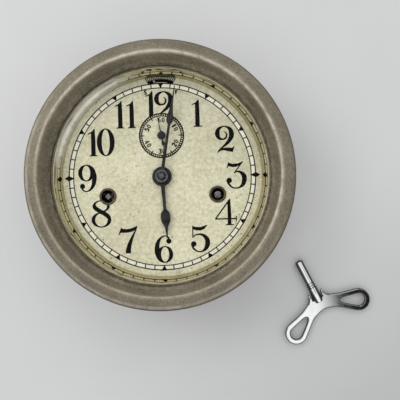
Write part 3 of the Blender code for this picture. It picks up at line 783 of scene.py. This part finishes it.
def number(ink, value, x, y, height, degrees=0.0, draw=None):
    """A number centred on a point, turned clockwise."""
    digits = [int(d) for d in str(value)]
    halves = [ONE_HALF if d == 1 else WIDE_HALF for d in digits]
    if draw:
        halves = [PLAIN_HALF] * len(digits)
    if len(digits) == 1:
        halves = [0.0]
    along = -sum(halves)
    a = math.radians(-degrees)
    for d, half in zip(digits, halves):
        dx, dy = (along + half) * height, -height / 2
        ink.at(
            x + dx * math.cos(a) - dy * math.sin(a),
            y + dx * math.sin(a) + dy * math.cos(a),
            height, degrees,
        )
        if draw:
            draw(ink, d)
        elif value == 12 and d == 2:
            two(ink, foot=False)
        else:
            DIGITS[d](ink)
        along += 2 * half
    ink.at(0.0, 0.0)


def line(ink, r0, r1, degrees, width, centre=(0.0, 0.0)):
    """A radial mark."""
    (x0, y0), (x1, y1) = polar(r0, degrees, centre), polar(r1, degrees, centre)
    ink.stroke((x0, y0, width), (x1, y1, width))


def ring_line(ink, radius, width, centre=(0.0, 0.0), points=RIM_STEPS):
    ink.circle(*centre, radius + width / 2, radius + width / 2, width, width, points)


def print_hours():
    ink = Ink()
    for hour in range(1, 13):
        x, y = polar(NUMERAL_R + HOURS_OUT.get(hour, 0.0), 30 * hour)
        number(ink, hour, x + HOURS_RIGHT.get(hour, 0.0), y, NUMERAL_H)
    piece("hour_numerals", ink.bm, "ink", "case")


def print_track():
    """Railway minute track with pointers at every fifth minute and diamonds at 3 and 9."""
    cells = bmesh.new()
    turn = [360.0 * i / RIM_STEPS for i in range(RIM_STEPS)]
    band(cells, [polar(TRACK_OUT, a) for a in turn], [polar(TRACK_IN, a) for a in turn],
         INK_Z - 0.01, INK_Z + 0.01, closed=True)
    piece("track_ground", cells, "cells", "case")
    ink = Ink()
    ring_line(ink, TRACK_OUT, 0.7)
    ring_line(ink, TRACK_IN, 0.62)
    for minute in range(60):
        angle = 6 * minute
        if minute in (15, 45):
            ink.shape([polar(62.4, angle), polar(59.6, angle - 1.7),
                       polar(56.0, angle), polar(59.6, angle + 1.7)])
        elif minute % 5 == 0:
            base = TRACK_OUT + 0.5
            ink.shape([polar(base, angle - 1.85), polar(base, angle + 1.85), polar(TRACK_IN - 0.3, angle)])
        else:
            line(ink, TRACK_IN, TRACK_OUT, angle, 0.68)
    piece("minute_track", ink.bm, "ink", "case")


def print_seconds():
    """Seconds dial: a raised disc that cuts off the foot of the 12, with its own track."""
    disc = spun([(1.7, DIAL_Z + 0.01), (1.7, DIAL_Z + 0.10), (14.35, DIAL_Z + 0.10),
                 (14.35, DIAL_Z + 0.01)], 96, SECONDS)
    piece("seconds_ground", disc, "dial", "case")
    ink = Ink(DIAL_Z + 0.11)
    ring_line(ink, SECONDS_OUT, 0.85, SECONDS, 96)
    ring_line(ink, SECONDS_IN, 0.6, SECONDS, 96)
    for second in range(60):
        heavy = second % 5 == 0
        line(ink, SECONDS_IN, SECONDS_OUT, 6 * second, 0.95 if heavy else 0.66, SECONDS)
        if second % 10 == 5:
            line(ink, SECONDS_IN - 1.6, SECONDS_IN, 6 * second, 0.65, SECONDS)
    ink.weight = 1.6
    for value in range(10, 70, 10):
        angle = 6 * value % 360
        x, y = polar(10.0, angle, SECONDS)
        turn = angle - 180 if 90 < angle < 270 else angle
        number(ink, value, x, y, 3.1, turn, plain_digit)
    piece("seconds_track", ink.bm, "ink", "case")


def print_regulator_scale():
    """Comb of marks over the slow-fast slot, with the slow and fast letters at its ends, and black lines of
    painted shade round the slot.
    """
    ink = Ink()
    ends = SLOT_HALF_DEG + 2.0
    turn = [-ends + 2 * ends * i / 24 for i in range(25)]
    # Black lines along the slot's edges and ends: painted shade that makes the slot look wider and darker.
    for radius in (SLOT_R - 1.02, SLOT_R + 1.02):
        ink.stroke(*[(*polar(radius, a, BALANCE), 0.34) for a in turn], per=1)
    for end in (-ends, ends):
        line(ink, SLOT_R - 1.15, SLOT_R + 1.15, end, 0.5, BALANCE)
    marks = 17
    for i in range(marks):
        last = i in (0, marks - 1)
        angle = -24 + 48 * i / (marks - 1)
        line(ink, COMB_IN, COMB_OUT + 0.5 * last, angle, 0.68 if last else 0.58, BALANCE)
    ink.weight = 1.4
    ink.at(*polar(LETTER_R, -10.2), LETTER_H)
    ink.stroke((0.26, 0.36, 0.16), (0.1, 0.5, 0.17), (-0.18, 0.42, 0.19), (-0.15, 0.14, 0.24),
               (0.15, -0.12, 0.26), (0.2, -0.38, 0.19), (-0.06, -0.5, 0.17), (-0.28, -0.34, 0.16))
    ink.at(*polar(LETTER_R, 10.6), LETTER_H)
    ink.stroke((-0.16, -0.5, 0.24), (-0.16, 0.5, 0.24))
    ink.stroke((-0.2, 0.42, 0.17), (0.34, 0.42, 0.17))
    ink.stroke((-0.2, 0.02, 0.16), (0.2, 0.02, 0.16))
    ink.at(0.0, 0.0)
    piece("regulator_scale", ink.bm, "ink", "case")


# Case and front


def make_case():
    """Spun drum with a rolled shoulder, a threaded collar and a pierced flange."""
    inner = 72.5
    profile = [(0.0, 3.0), (inner, 3.0), (inner, 58.6), (75.4, 58.6)]
    for i in range(5):
        z = 58.0 - 1.5 * i
        profile += [(75.95, z), (75.95, z - 0.5), (75.3, z - 0.75), (75.3, z - 1.25)]
    profile += [(76.0, 50.6), (75.6, 50.2), (74.0, 49.2)]
    profile += [(73.9, 30.0), (74.0, 6.0), (74.4, 4.0), (75.6, 2.8), (77.5, 2.5)]
    profile += [(86.8, 2.4), (87.6, 2.1), (88.0, 1.4), (88.0, 0.6), (87.6, 0.1), (87.0, 0.0), (0.0, 0.0)]
    bm = spun(profile, closed=False)
    case = piece("case_shell", bm, "nickel", "case", "case_drum")
    for i in range(3):
        bore(case, polar(FLANGE_HOLE_R, 120 * i), 2.4, -2.0, 6.0, 32)
    for screw in CASE_SCREWS:
        bore(case, screw, 1.8, -2.0, 6.0, 32)
        bore(case, screw, 3.3, -2.0, 1.9, 32)


def cut(obj, tool):
    """Cut a closed mesh away and keep the result as the object's mesh."""
    bmesh.ops.recalc_face_normals(tool, faces=tool.faces)
    mesh = bpy.data.meshes.new("tool")
    tool.to_mesh(mesh)
    tool.free()
    cutter = bpy.data.objects.new("tool", mesh)
    bpy.context.scene.collection.objects.link(cutter)
    step = obj.modifiers.new("cut", "BOOLEAN")
    step.operation = "DIFFERENCE"
    step.object = cutter
    bpy.context.view_layer.update()
    graph = bpy.context.evaluated_depsgraph_get()
    made = bpy.data.meshes.new_from_object(obj.evaluated_get(graph))
    obj.modifiers.remove(step)
    obj.data = made
    bpy.data.objects.remove(cutter, do_unlink=True)


def bore(obj, centre, radius, low, high, steps):
    """Drill a round hole or a counterbore."""
    cut(obj, spun([(0.0, high), (radius, high), (radius, low), (0.0, low)], steps, centre, False))


def make_bezel():
    """Bezel: rolled edge, straight slope, narrow bright crest, hollow cove and a beaded lip."""
    crest = smooth_path([(72.5, 65.5), (73.1, 66.3), (73.9, 66.75), (74.8, 66.68), (75.7, 66.25)], 4)
    slope = [(76.8, 65.7), (78.5, 64.86), (80.2, 63.92), (81.9, 62.85)]
    bead = smooth_path([(82.05, 62.45), (82.5, 62.3), (82.95, 61.5), (82.98, 60.3), (82.6, 58.9),
                        (81.6, 58.0), (80.6, 57.6)], 5)
    grip = [(79.6, 57.1), (79.4, 56.4)]
    for i in range(3):
        z = 55.4 - 1.4 * i
        grip += [(79.4, z), (79.1, z - 0.3), (79.4, z - 0.6)]
    foot = [(79.4, 50.4), (79.0, 50.0), (76.8, 50.0), (76.4, 50.4), (76.4, 58.9), (70.4, 58.9), (70.4, 60.5)]
    lip = smooth_path([(67.3, 60.5), (67.0, 60.75), (67.15, 61.15), (67.6, 61.35), (68.05, 61.2)], 4)
    cove = smooth_path([(68.3, 61.3), (69.4, 61.8), (70.4, 62.7), (71.4, 64.0), (72.3, 65.2)], 6)
    piece("bezel_casting", spun(crest + slope + bead + grip + foot + lip + cove), "nickel",
          "bezel", "bezel_ring", 50.0)


def make_glass_unit():
    """The glass, and the ring that holds it in the bezel."""
    profile = rounded([(0.0, 60.2), (69.9, 60.2), (69.9, 59.0), (0.0, 59.0)], {1: 0.3, 2: 0.3})
    piece("front_glass", spun(profile, closed=False), "glass", "glass_unit", "glass")
    ring_profile = rounded([(71.9, 58.7), (71.9, 57.6), (66.9, 57.6), (66.9, 58.7)],
                           {corner: 0.25 for corner in range(4)})
    piece("glass_seat_ring", spun(ring_profile), "seat", "glass_unit", "glass_retaining_ring")


def make_reflector():
    """Mirror ring: a narrow foot on the dial, a polished wall and a rolled top edge."""
    profile = smooth_path(
        [(63.4, 48.3), (63.5, 49.0), (64.6, 52.2), (65.7, 55.3), (66.2, 56.6), (66.45, 57.1)], 4)
    profile += [(66.9, 57.2), (67.4, 57.15), (66.2, 54.0), (64.4, 48.35)]
    piece("reflector", spun(profile), "mirror", "case", "reflector_ring")


def slot_outline():
    """The slow-fast slot, an arc about the balance."""
    low, high = -SLOT_HALF_DEG - 1.4, SLOT_HALF_DEG + 1.4
    steps = 20
    turn = [low + (high - low) * i / steps for i in range(steps + 1)]
    outer = [polar(SLOT_R + SLOT_HALF_WIDTH, a, BALANCE) for a in turn]
    return outer + [polar(SLOT_R - SLOT_HALF_WIDTH, a, BALANCE) for a in reversed(turn)]


def make_dial():
    """Flat dial plate with its holes, its slow-fast slot and three feet."""
    profile = [(4.8, 47.0), (4.8, 48.0), (30.0, 48.0), (50.0, 48.0), (60.6, 48.0), (62.6, 48.0),
               (64.7, 48.0), (65.0, 47.8), (65.0, 47.2), (64.8, 47.0)]
    dial = piece("dial_face", spun(profile), "dial", "case")
    slot = bmesh.new()
    prism(slot, slot_outline(), 46.0, 49.0)
    cut(dial, slot)
    for centre, radius in ((SECONDS, 1.6), ((-BARREL[0], BARREL[1]), EYELET_HOLE_R), (BARREL, EYELET_HOLE_R)):
        bore(dial, centre, radius, 46.0, 49.0, 48)
    feet = bmesh.new()
    for i in range(3):
        foot = polar(DIAL_FOOT_R, 70 - 120 * i)
        for radius, low, high in ((1.6, 38.1, 46.98), (2.6, 46.4, 46.99)):
            prism(feet, round_outline(foot, radius, 24), low, high)
    piece("dial_feet", feet, "brass", "case")
    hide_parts("dial_plate")


def make_shutter():
    """A black sheet on the regulator under the slot, standing in for the shade in the slot."""
    # Painted shade: a black sheet under the slot.
    slot_shade = bmesh.new()
    turn = [REGULATOR_DEG - 45 + 90 * i / 30 for i in range(31)]
    band(slot_shade, [polar(SLOT_R + 2.4, a, BALANCE) for a in turn],
         [polar(SLOT_R - 2.4, a, BALANCE) for a in turn], 45.0, 45.5)
    piece("regulator_slot_shade", slot_shade, "black", "regulator")


def make_eyelets():
    """A rolled eyelet in each winding hole, and behind it a black cup that stands in for the shade in the
    hole.
    """
    profile = [(5.45, 48.35), (5.35, 48.62), (4.95, 48.8), (4.45, 48.8), (4.12, 48.6), (4.1, 46.3),
               (4.6, 46.25), (4.6, 48.05), (5.4, 48.05)]
    for side, name in ((-1, "left"), (1, "right")):
        centre = (side * BARREL[0], BARREL[1])
        piece(f"{name}_eyelet", spun(profile, 64, centre), "eyelet", "case",
              f"{name}_winding_eyelet")
        # Painted shade: a black cup down in the winding hole.
        cup = [(4.55, 46.2), (4.55, 41.0), (2.15, 41.0), (2.15, 41.3), (4.3, 41.3), (4.3, 46.2)]
        piece(f"{name}_shade_cup", spun(cup, 64, centre), "black", "case")


# Hands


def hand_blade(bm, root, neck, belly, tip, widths, degrees, low, high, centre=(0.0, 0.0)):
    """A pear-shaped blade with bevelled edges; the belly is round towards the hub."""
    reach = belly - neck
    stations = smooth_path([
        (root, widths[0]), (neck - 0.4 * reach, widths[1] * 1.02), (neck, widths[1]),
        (neck + 0.12 * reach, widths[2] * 0.42), (neck + 0.4 * reach, widths[2] * 0.86),
        (neck + 0.75 * reach, widths[2]), (belly + 0.2 * reach, widths[2] * 0.93),
        (belly + 0.16 * (tip - belly) + 0.2 * reach, widths[2] * 0.64),
        (belly + 0.42 * (tip - belly), widths[2] * 0.36),
        (belly + 0.7 * (tip - belly), widths[2] * 0.20), (tip, widths[3]),
    ], 5)
    rows = []
    for s, w in stations:
        row = []
        for offset, z in ((w, low), (w, high - HAND_EDGE), (w * 0.7, high), (-w * 0.7, high),
                          (-w, high - HAND_EDGE), (-w, low)):
            a = math.radians(degrees)
            x = centre[0] + s * math.sin(a) + offset * math.cos(a)
            y = centre[1] + s * math.cos(a) - offset * math.sin(a)
            row.append(bm.verts.new((x * MM, y * MM, z * MM)))
        rows.append(row)
    for one_row, two_row in zip(rows, rows[1:]):
        for k in range(6):
            m = (k + 1) % 6
            bm.faces.new((one_row[k], one_row[m], two_row[m], two_row[k]))
    bm.faces.new(rows[0])
    bm.faces.new(rows[-1][::-1])


def merge(bm, other):
    """Add another bmesh's faces to this one."""
    mesh = bpy.data.meshes.new("merge")
    other.to_mesh(mesh)
    other.free()
    bm.from_mesh(mesh)
    bpy.data.meshes.remove(mesh)


def hub(bm, inner, outer, low, high, centre=(0.0, 0.0)):
    """The round boss of a hand."""
    profile = rounded([(outer, high), (outer, low), (inner, low), (inner, high)], {0: 0.2, 3: 0.1}, 3)
    merge(bm, spun(profile, 64, centre))


def make_hands():
    """Three hands, the collet on the minute hand and the six-sided nut."""
    hour = bmesh.new()
    hand_blade(hour, 5.0, 20.5, 27.0, 39.4, (1.3, 0.95, 3.0, 0.3), HOUR_DEG, HOUR_Z, HOUR_Z + HAND_T)
    hub(hour, 4.3, 6.2, HOUR_Z - 0.02, HOUR_Z + 0.66)
    piece("hour_pointer", hour, "blued", "hour", "hour_hand")

    minute = bmesh.new()
    hand_blade(minute, 3.5, 32.4, 37.0, 57.4, (1.05, 0.8, 2.1, 0.28), MINUTE_DEG,
               MINUTE_Z, MINUTE_Z + HAND_T)
    hub(minute, 2.2, 4.4, MINUTE_Z - 0.02, MINUTE_Z + 0.66)
    piece("minute_pointer", minute, "blued", "minute", "minute_hand")

    seconds = bmesh.new()
    seconds_top = SECONDS_Z + SECONDS_HAND_T
    hand_blade(seconds, 1.8, 3.4, 4.2, 12.5, (0.45, 0.4, 0.42, 0.2), SECONDS_DEG,
               SECONDS_Z, seconds_top, SECONDS)
    hand_blade(seconds, 1.8, 3.2, 5.6, 8.1, (0.42, 0.36, 1.05, 0.5), SECONDS_DEG + 180,
               SECONDS_Z, seconds_top, SECONDS)
    hub(seconds, 0.9, 2.6, SECONDS_Z - 0.02, seconds_top + 0.05, SECONDS)
    cap = [(0.0, 49.9), (2.1, 49.9), (2.4, 49.76), (2.45, 49.62), (0.0, 49.62)]
    merge(seconds, spun(cap, 48, SECONDS, closed=False))
    piece("seconds_pointer", seconds, "blued", "fourth", "seconds_hand")

    collet = spun(rounded([(4.1, 53.35), (4.1, 53.08), (2.5, 53.08), (2.5, 53.35)], {0: 0.12, 3: 0.1}, 3), 64)
    piece("minute_collet", collet, "nut", "minute")

    nut = spun(rounded([(0.0, 55.7), (1.7, 55.7), (2.35, 54.9), (2.35, 53.4), (1.25, 53.4), (1.25, 54.9),
                        (0.0, 54.9)], {1: 0.3, 2: 0.3}), 6, closed=False)
    piece("hand_cap_nut", nut, "nut", "minute", "hand_nut", 20.0)


# Winding key


def sideways(v):
    """A direction turned a quarter turn clockwise."""
    return Vector((v.y, -v.x))


def offset_loop(loop, distance):
    """A closed loop moved sideways; positive moves a clockwise loop outwards."""
    made = []
    for i, p in enumerate(loop):
        along = (loop[(i + 1) % len(loop)] - loop[i - 1]).normalized()
        made.append(p - sideways(along) * distance)
    return made


def clockwise(loop):
    """The same loop, in clockwise order."""
    area = sum(a.x * b.y - b.x * a.y for a, b in zip(loop, loop[1:] + loop[:1]))
    return loop if area < 0 else loop[::-1]


def cushion(bm, outer, holes, low, high, edge):
    """A plate whose outlines are bevelled in towards its two flat faces."""
    bevel = ((edge, 0.0), (0.3 * edge, 0.35 * edge), (0.0, edge))
    steps = [(inset, low + drop) for inset, drop in bevel]
    steps += [(inset, high - drop) for inset, drop in reversed(bevel)]
    caps = {-1: [], 1: []}
    for index, loop in enumerate([outer] + holes):
        sign = -1 if index == 0 else 1
        rows = []
        for inset, z in steps:
            points = offset_loop(clockwise(loop), sign * inset)
            rows.append([bm.verts.new((p.x * MM, p.y * MM, z * MM)) for p in points])
        for one_row, two_row in zip(rows, rows[1:]):
            for i in range(len(loop)):
                bm.faces.new((one_row[i - 1], one_row[i], two_row[i], two_row[i - 1]))
        caps[-1].append(rows[0])
        caps[1].append(rows[-1])
    for side in (-1, 1):
        flat_loops = [[Vector((v.co.x, v.co.y, 0.0)) / MM for v in row] for row in caps[side]]
        verts = [v for row in caps[side] for v in row]
        for triangle in tessellate_polygon(flat_loops):
            bm.faces.new([verts[i] for i in triangle])


def closed_path(points, per):
    """A smooth loop through points given in order."""
    padded = [points[-1], *points, points[0], points[1]]
    path = smooth_path([tuple(p) for p in padded], per)
    return [Vector(p) for p in path[per:-per - 1]]


def key_wing(heart, end, side, at):
    """One thumb loop's outline and the keyhole-shaped opening in it."""
    axis = (end - heart).normalized()
    lateral = -sideways(axis) * side
    reach = (end - heart).length - 0.15
    middle = reach - KEY_LOOP_R

    def along(stations):
        return [heart + axis * s + lateral * w for s, w in stations]

    def arc(radius, *degrees):
        return [(middle + radius * math.sin(math.radians(a)), radius * math.cos(math.radians(a)))
                for a in degrees]

    edge = [(10.5, 4.9), (14.0, 5.0), (19.0, 6.0), (24.0, 7.2)] + arc(KEY_LOOP_R, 0, 30, 60, 90)
    far_edge = [(s, -w) for s, w in reversed(edge[:-1])]
    root = [at(10.3, 5.4 * side), at(8.6, 5.7 * side), at(6.6, 6.6 * side), at(4.6, 8.4 * side)]
    narrow = [(reach - 15.0, -3.0), (reach - 20.5, -1.5), (reach - 22.0, 0.0),
              (reach - 20.5, 1.5), (reach - 15.0, 3.0)]
    eye = arc(KEY_EYE_R, *range(0, 181, 30))
    return root + along(edge + far_edge), closed_path(along(eye + narrow), 6)


def make_key():
    """Chromed key: two bevelled thumb loops, and a bored barrel with grooves."""
    turn = Matrix.Rotation(math.radians(KEY_TURN_DEG), 2)
    tip, centre, right, left = (turn @ Vector(p) for p in (KEY_TIP, KEY_HUB, *KEY_ENDS))
    up = (tip - centre).normalized()
    across = sideways(up)

    def at(along, aside):
        return centre + up * along + across * aside

    heart = at(KEY_HEART, 0.0)
    right_wing, right_hole = key_wing(heart, right, 1, at)
    left_wing, left_hole = key_wing(heart, left, -1, at)
    collar = [at(9.0, -4.2), at(7.0, -3.75), at(5.2, -3.3), at(5.2, 3.3), at(7.0, 3.75), at(9.0, 4.2)]
    outline = right_wing + [at(-3.9, 0.6)] + left_wing[::-1] + collar
    wings = bmesh.new()
    cushion(wings, closed_path(outline, 5), [right_hole, left_hole],
            KEY_Z - KEY_HALF_T, KEY_Z + KEY_HALF_T, KEY_EDGE)
    piece("key_loops", wings, "chrome", "key", "key_wings", 24.0)

    length = (tip - centre).length
    profile = [(0.0, length - 13.0), (1.5, length - 13.0), (1.5, length - 0.4), (1.8, length), (2.6, length),
               (2.9, length - 0.4), (2.9, 18.7), (2.2, 18.5), (2.2, 17.9), (3.1, 17.7), (3.1, 16.9),
               (2.3, 16.7), (2.3, 16.2), (3.2, 15.9), (3.2, 15.3), (2.5, 15.1), (2.5, 14.7),
               (3.2, 14.3), (3.2, 3.4), (2.9, 2.75), (0.0, 2.6)]
    barrel = spun(profile, 48, closed=False)
    spin = Vector((up.x, up.y, 0.0)).to_track_quat("Z", "Y").to_matrix().to_4x4()
    place = Matrix.Translation(Vector((centre.x, centre.y, KEY_Z)) * MM) @ spin
    bmesh.ops.transform(barrel, matrix=place, verts=barrel.verts)
    piece("key_pipe", barrel, "pipe", "key", "key_barrel")


# Studio


def make_stage():
    """A plain table that reaches past the view."""
    bpy.ops.mesh.primitive_plane_add(size=16.0, location=(0.0, 0.0, -0.0002))
    floor = bpy.context.object
    floor.name = "table"
    floor.data.materials.append(table_top())


def area_light(name, place, size, power):
    """A round soft light that aims at the clock."""
    data = bpy.data.lights.new(name, "AREA")
    data.shape = "DISK"
    data.size = size
    data.energy = power
    light = bpy.data.objects.new(name, data)
    light.location = place
    aim = Vector(LIGHT_AIM) - Vector(place)
    light.rotation_euler = aim.to_track_quat("-Z", "Y").to_euler()
    bpy.context.scene.collection.objects.link(light)


def make_sky():
    """A pale room with a dark horizon and a dark gap overhead."""
    world = bpy.data.worlds.new("studio")
    world.use_nodes = True
    sky = Tree(world.node_tree)
    direction = sky.add("ShaderNodeTexCoord").outputs["Generated"]
    parts = sky.add("ShaderNodeSeparateXYZ")
    sky.join(direction, parts.inputs[0])
    tinted = [(position, (grey, grey * 1.01, grey * 1.02)) for position, grey in SKY_BANDS]
    bands = sky.ramp(parts.outputs["Z"], *tinted)
    nearness = sky.add("ShaderNodeVectorMath", operation="DOT_PRODUCT")
    nearness.inputs[1].default_value = Vector(DARK_GAP).normalized()
    sky.join(direction, nearness.inputs[0])
    gap = sky.ramp(nearness.outputs["Value"], (0.9862, 1.0), (0.9910, 0.01))
    background = world.node_tree.nodes["Background"]
    sky.join(sky.mix(1.0, bands, gap, "MULTIPLY"), background.inputs["Color"])
    background.inputs["Strength"].default_value = SKY_STRENGTH
    bpy.context.scene.world = world


def make_light():
    """The sky, and soft panels up to the left and behind."""
    make_sky()
    area_light("window_left", (-0.85, 0.55, 1.0), 0.8, 4.6)
    area_light("window_back", (0.1, 1.1, 1.2), 0.9, 2.6)


def make_camera():
    """Nearly straight above the dial, with the key in view."""
    data = bpy.data.cameras.new("camera")
    data.sensor_width = 36.0
    data.lens = CAMERA_LENS
    data.shift_x, data.shift_y = CAMERA_SHIFT
    camera = bpy.data.objects.new("camera", data)
    camera.location = CAMERA_PLACE
    camera.rotation_euler = (0.0, 0.0, math.radians(CAMERA_TURN_DEG))
    bpy.context.scene.collection.objects.link(camera)
    bpy.context.scene.camera = camera


make_camera()
dress_cad_nodes()
make_case()
make_bezel()
make_glass_unit()
make_reflector()
make_dial()
print_track()
print_hours()
print_seconds()
print_regulator_scale()
make_shutter()
make_eyelets()
make_hands()
make_key()
make_stage()
make_light()
bpy.context.scene.view_settings.view_transform = "Standard"
